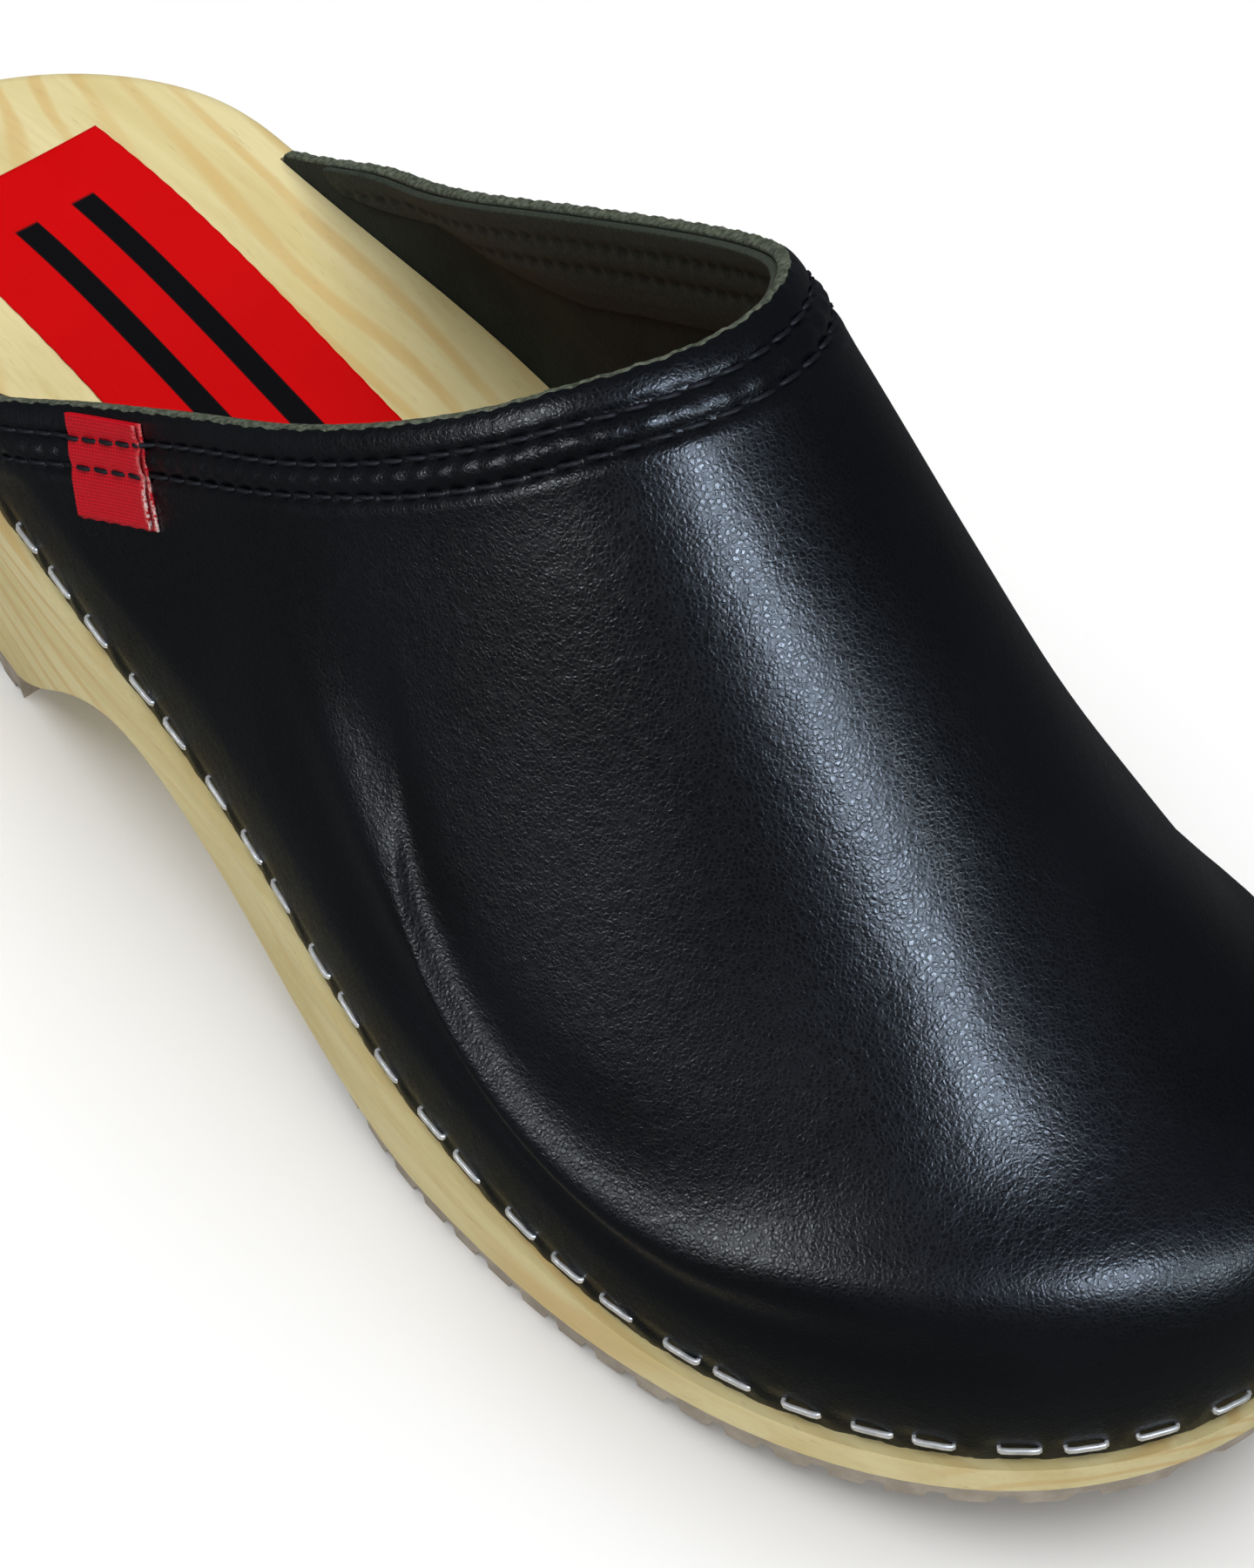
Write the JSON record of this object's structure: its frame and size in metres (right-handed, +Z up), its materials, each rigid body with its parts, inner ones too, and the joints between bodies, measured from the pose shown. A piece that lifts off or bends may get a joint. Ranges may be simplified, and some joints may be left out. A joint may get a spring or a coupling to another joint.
{
  "type": "wooden clog",
  "caption": "Right-foot slip-on clog: black leather upper stapled round a carved wooden sole with a raised heel, ribbed rubber under heel and forefoot.",
  "frame": {"origin": "on the surface the clog stands on, under the middle of its bounding box in plan", "axes": "+Z up; -Y towards the toe and +Y towards the heel; -X towards the outer (lateral) side of a right foot, +X towards the inner (medial) side"},
  "size_m": [0.093, 0.2549, 0.1138],
  "materials": {
    "sole_wood": "sanded pale hardwood under a thin clear varnish",
    "upper_leather": "smooth black full-grain leather, satin gloss",
    "lining_leather": "dark grey-green split leather, flesh side",
    "stiffener": "plain non-woven sheet",
    "thread": "black waxed polyester thread",
    "tag_cloth": "red woven ribbon",
    "label_film": "red satin transfer",
    "staple_steel": "bright galvanised wire",
    "tread_rubber": "matte grey-brown rubber"
  },
  "bodies": {
    "root": {"wooden_sole": "sole_wood", "upper": "upper_leather", "collar_reinforcement": "lining_leather", "toe_puff": "stiffener", "topline_stitch_upper_row": "thread", "topline_stitch_lower_row": "thread", "side_tag": "tag_cloth", "footbed_label": "label_film", "staples_lateral": "staple_steel", "staples_toe": "staple_steel", "staples_medial": "staple_steel", "forefoot_outsole": "tread_rubber", "heel_lift": "tread_rubber"}
  },
  "joints": []
}
